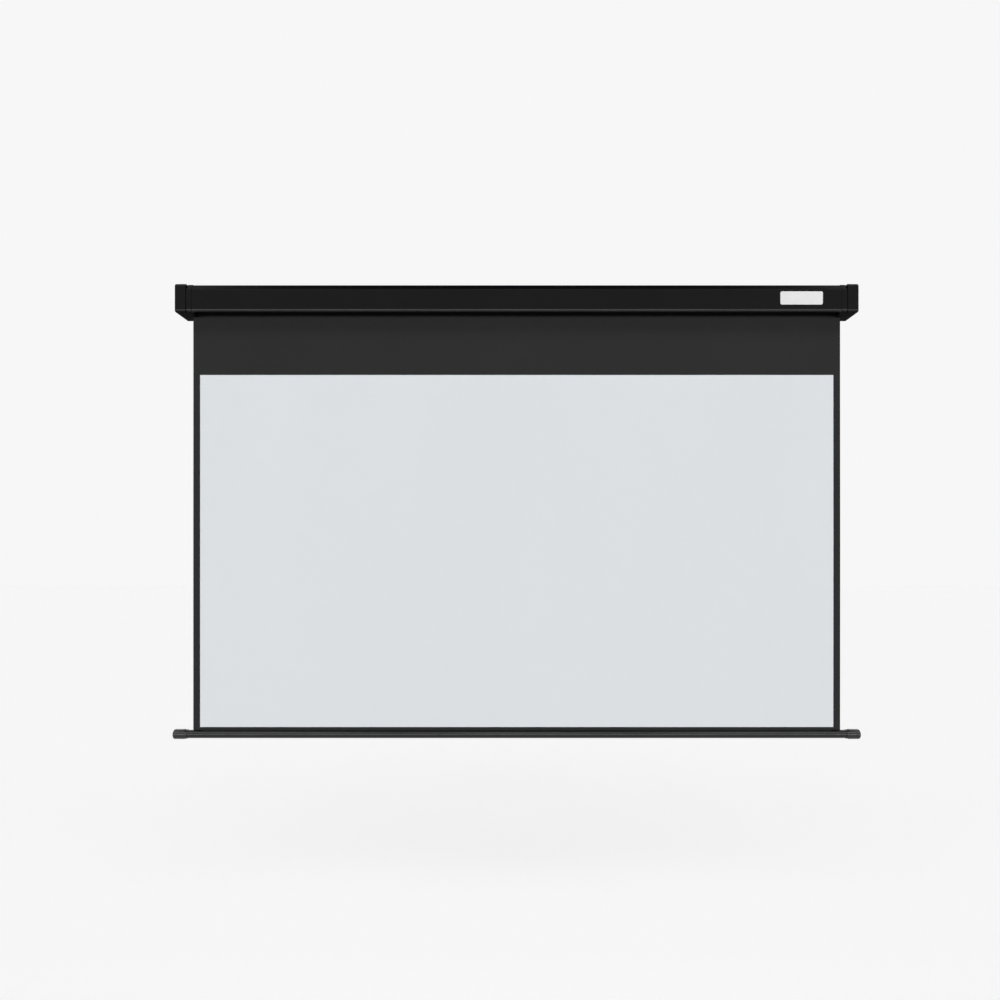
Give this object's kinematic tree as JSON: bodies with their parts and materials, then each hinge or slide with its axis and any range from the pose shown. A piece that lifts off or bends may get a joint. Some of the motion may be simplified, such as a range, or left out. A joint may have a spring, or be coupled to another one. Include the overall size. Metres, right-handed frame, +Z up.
{
  "type": "pull-down projector screen",
  "caption": "Wall-hung manual projection screen: white sheet with black borders, wound on a spring roller in a slim black casing and drawn down by a weighted bottom bar.",
  "frame": {"origin": "on the wall plane, level with the roller's axis at mid-height of the casing, midway along the casing", "axes": "+X along the casing to the viewer's right, +Y into the wall, +Z up; the viewer is on the -Y side"},
  "size_m": [2.012, 0.0856, 1.322],
  "materials": {
    "casing_paint": "black powder coat, satin, faint orange peel",
    "cap_plastic": "black moulded plastic, finely textured",
    "plated_steel": "zinc plated, satin",
    "screw_black": "black zinc, satin",
    "nylon": "natural nylon",
    "plug_plastic": "black moulded plastic",
    "spring_steel": "oiled spring steel",
    "roller_aluminium": "extruded, mill finish",
    "sheet_black": "black coated screen sheet, matt",
    "sheet_white": "matt white projection coating on a fine weave",
    "bar_paint": "black enamel, satin gloss",
    "bar_cap_plastic": "black moulded plastic, half gloss"
  },
  "bodies": {
    "casing": {"casing_shell": "casing_paint", "end_cap_left": "cap_plastic", "end_cap_right": "cap_plastic", "wall_bracket_left": "plated_steel", "wall_bracket_right": "plated_steel", "end_screw_left_lower": "screw_black", "end_screw_left_upper": "screw_black", "end_screw_right_lower": "screw_black", "end_screw_right_upper": "screw_black", "top_screw_left_back": "screw_black", "top_screw_left_front": "screw_black", "top_screw_right_back": "screw_black", "top_screw_right_front": "screw_black", "idler_bush": "nylon", "spring_spindle": "plated_steel", "ratchet_hub": "plated_steel", "spring_anchor": "nylon", "torsion_spring": "spring_steel", "screen_sheet": "sheet_black", "viewing_surface": "sheet_white"},
    "roller": {"roller_tube": "roller_aluminium", "idler_plug": "plug_plastic", "idler_pin": "plated_steel", "ratchet_plug": "plated_steel", "pawl_pin_1": "plated_steel", "pawl_pin_2": "plated_steel", "spring_plug": "nylon", "fabric_spline": "nylon", "fabric_wraps": "sheet_black"},
    "pawl_1": {"pawl_1": "plated_steel"},
    "pawl_2": {"pawl_2": "plated_steel"},
    "bottom_bar": {"bar_tube": "bar_paint", "bar_cap_left": "bar_cap_plastic", "bar_cap_right": "bar_cap_plastic", "hem_pocket": "sheet_black", "hem_rod": "plated_steel"}
  },
  "joints": [
    {"name": "bar_slide", "type": "slide", "parent": "casing", "child": "bottom_bar", "axis": [0, 0, 1], "range_m": [0, 1.206], "deforming": ["screen_sheet", "viewing_surface"]},
    {"name": "roller_spin", "type": "hinge", "parent": "casing", "child": "roller", "pos_m": [0, -0.0555, 0], "axis": [1, 0, 0], "range_deg": [0, 3240]},
    {"name": "pawl_1_pivot", "type": "hinge", "parent": "roller", "child": "pawl_1", "pos_m": [0.961, -0.04988, 0.01205], "axis": [1, 0, 0], "range_deg": [0, 24]},
    {"name": "pawl_2_pivot", "type": "hinge", "parent": "roller", "child": "pawl_2", "pos_m": [0.961, -0.06112, -0.01205], "axis": [1, 0, 0], "range_deg": [0, 24]}
  ],
  "couplings": [
    {"joint": "roller_spin", "follows": "bar_slide", "rad_per_m": 46.889}
  ]
}
